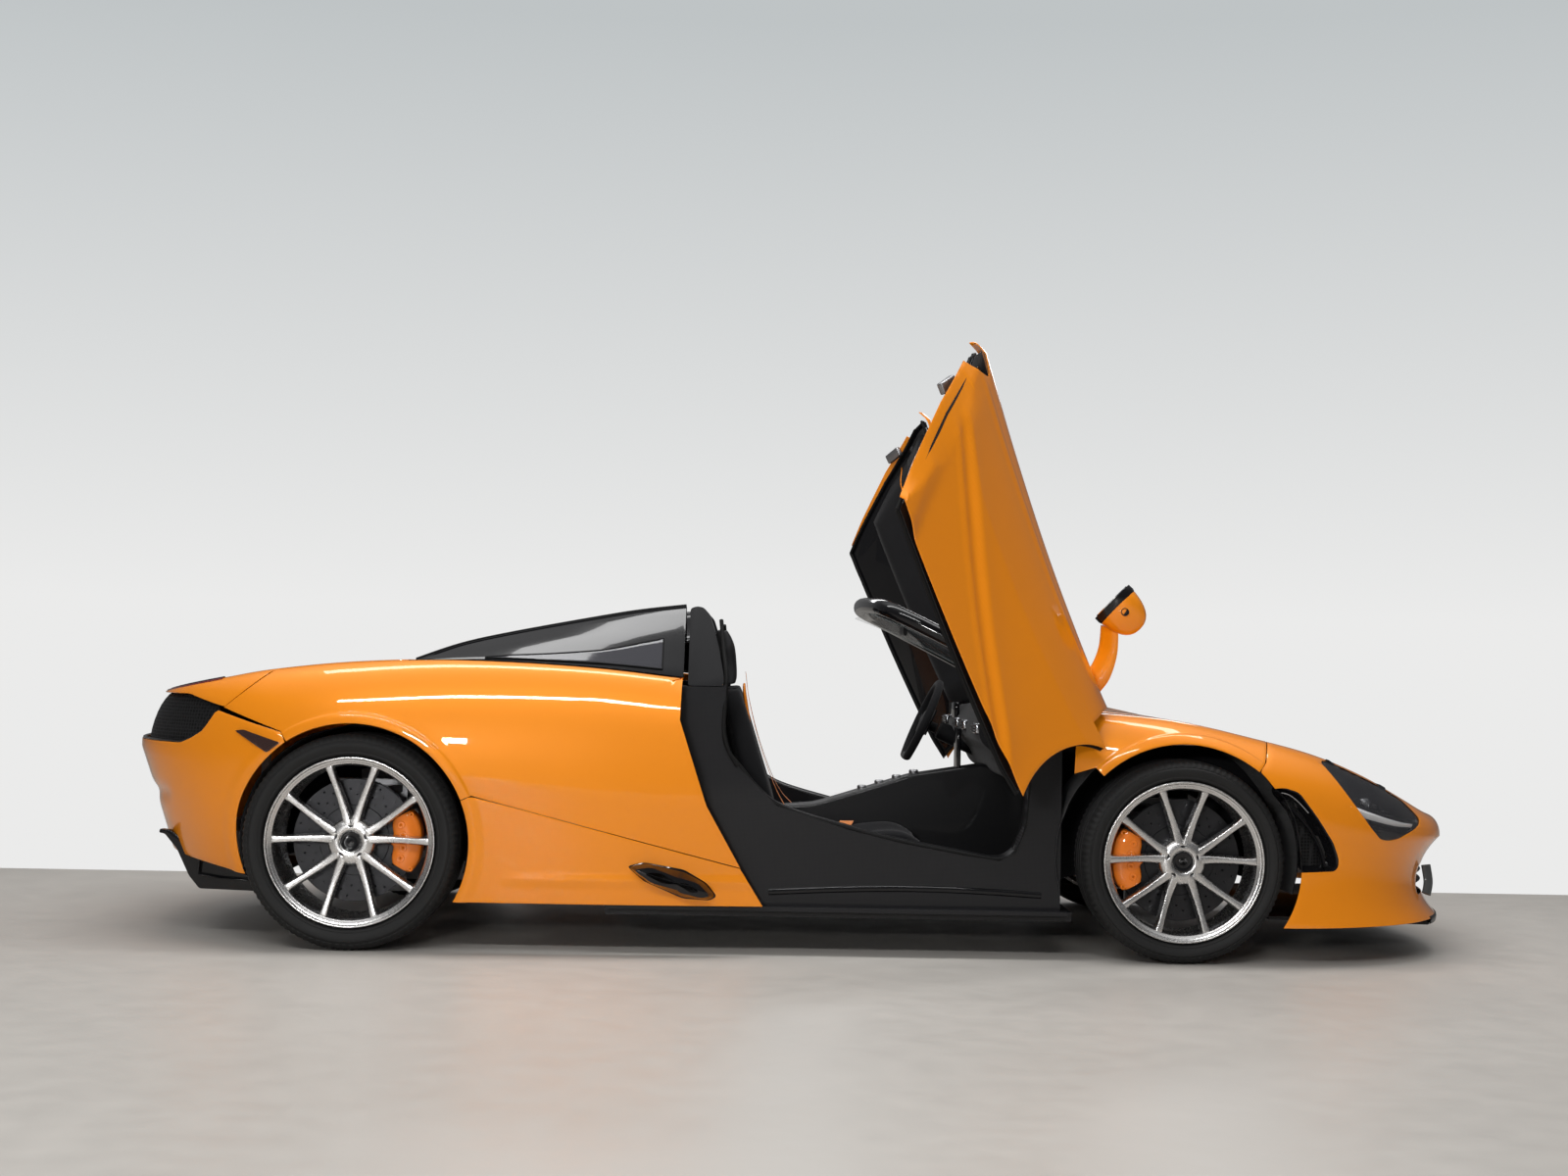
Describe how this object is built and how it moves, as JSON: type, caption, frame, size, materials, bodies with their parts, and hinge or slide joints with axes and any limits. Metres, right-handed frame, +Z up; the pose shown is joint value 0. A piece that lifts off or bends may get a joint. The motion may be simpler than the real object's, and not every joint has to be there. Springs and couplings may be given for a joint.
{
  "type": "open-top two-seat supercar with dihedral doors",
  "caption": "Low mid-engined open-top sports car with two raised doors, flying buttresses behind the seats and spoked alloy wheels.",
  "frame": {"origin": "on the ground at the middle of the bodywork's length, on the centreline", "axes": "+X forward, +Y to the car's left, +Z up"},
  "size_m": [4.5413, 3.032, 1.9796],
  "materials": {
    "orange_paint": "gloss clearcoat",
    "black_gloss": "gloss",
    "carbon": "satin lacquered",
    "black_trim": "matt",
    "seat_leather": "grained",
    "belt_web": "woven",
    "glass": "clear",
    "dark_glass": "dark tint",
    "alloy": "brushed",
    "cast": "as cast",
    "disc": "machined",
    "caliper_paint": "gloss",
    "tyre": "rubber",
    "engine_metal": "as cast"
  },
  "bodies": {
    "body": {"tub": "carbon", "luggage_tub": "black_trim", "front_structure": "cast", "rear_structure": "cast", "windscreen_frame": "black_gloss", "windscreen": "glass", "front_bumper": "orange_paint", "splitter": "carbon", "front_fenders": "orange_paint", "rear_quarters": "orange_paint", "side_skirts": "orange_paint", "rear_bumper": "orange_paint", "diffuser": "carbon", "tail_lights": "black_gloss", "rear_deck": "orange_paint", "rear_wing": "orange_paint", "roll_hoops": "black_gloss", "headlights": "black_gloss", "dashboard": "black_trim", "seats": "seat_leather", "seat_belts": "belt_web", "engine": "engine_metal", "wheel_liners": "black_trim", "suspension_arms": "cast", "rear_knuckles": "cast", "rear_calipers": "caliper_paint"},
    "bonnet": {"bonnet": "orange_paint"},
    "tonneau": {"tonneau": "black_gloss", "quarter_glass": "dark_glass"},
    "steering_wheel": {"steering_wheel": "seat_leather"},
    "right_door": {"right_door": "orange_paint", "right_door_trim": "black_trim", "right_mirror": "orange_paint"},
    "right_steering": {"right_knuckle": "cast", "right_front_caliper": "caliper_paint"},
    "right_front_wheel": {"right_front_disc": "disc", "right_front_rim": "alloy", "right_front_tyre": "tyre"},
    "right_rear_wheel": {"right_rear_disc": "disc", "right_rear_rim": "alloy", "right_rear_tyre": "tyre"},
    "left_door": {"left_door": "orange_paint", "left_door_trim": "black_trim", "left_mirror": "orange_paint"},
    "left_steering": {"left_knuckle": "cast", "left_front_caliper": "caliper_paint"},
    "left_front_wheel": {"left_front_disc": "disc", "left_front_rim": "alloy", "left_front_tyre": "tyre"},
    "left_rear_wheel": {"left_rear_disc": "disc", "left_rear_rim": "alloy", "left_rear_tyre": "tyre"}
  },
  "joints": [
    {"name": "right_door_hinge", "type": "hinge", "parent": "body", "child": "right_door", "pos_m": [0.977, -0.828, 0.715], "axis": [-0.442, 0.7413, 0.505], "range_deg": [-75.6, 0]},
    {"name": "right_steer", "type": "hinge", "parent": "body", "child": "right_steering", "pos_m": [1.24, -0.735, 0.327], "axis": [0, 0, 1], "range_deg": [-30, 30]},
    {"name": "right_front_spin", "type": "hinge", "parent": "right_steering", "child": "right_front_wheel", "pos_m": [1.24, -0.815, 0.327], "axis": [0, 1, 0], "continuous": true},
    {"name": "right_rear_spin", "type": "hinge", "parent": "body", "child": "right_rear_wheel", "pos_m": [-1.43, -0.795, 0.3455], "axis": [0, 1, 0], "continuous": true},
    {"name": "left_door_hinge", "type": "hinge", "parent": "body", "child": "left_door", "pos_m": [0.977, 0.828, 0.715], "axis": [0.442, 0.7413, -0.505], "range_deg": [-75.6, 0]},
    {"name": "left_steer", "type": "hinge", "parent": "body", "child": "left_steering", "pos_m": [1.24, 0.735, 0.327], "axis": [0, 0, 1], "range_deg": [-30, 30]},
    {"name": "left_front_spin", "type": "hinge", "parent": "left_steering", "child": "left_front_wheel", "pos_m": [1.24, 0.815, 0.327], "axis": [0, 1, 0], "continuous": true},
    {"name": "left_rear_spin", "type": "hinge", "parent": "body", "child": "left_rear_wheel", "pos_m": [-1.43, 0.795, 0.3455], "axis": [0, 1, 0], "continuous": true},
    {"name": "steering_wheel_turn", "type": "hinge", "parent": "body", "child": "steering_wheel", "pos_m": [0.491, 0.37, 0.727], "axis": [-0.9117, 0, 0.4108], "range_deg": [-450, 450]},
    {"name": "bonnet_hinge", "type": "hinge", "parent": "body", "child": "bonnet", "pos_m": [1.022, 0, 0.782], "axis": [0, -1, 0], "range_deg": [0, 50]},
    {"name": "tonneau_hinge", "type": "hinge", "parent": "body", "child": "tonneau", "pos_m": [-1.244, 0, 0.906], "axis": [0, -1, 0], "range_deg": [0, 30]}
  ],
  "couplings": [
    {"joint": "left_steer", "follows": "right_steer", "ratio": 1},
    {"joint": "steering_wheel_turn", "follows": "right_steer", "ratio": 15}
  ]
}
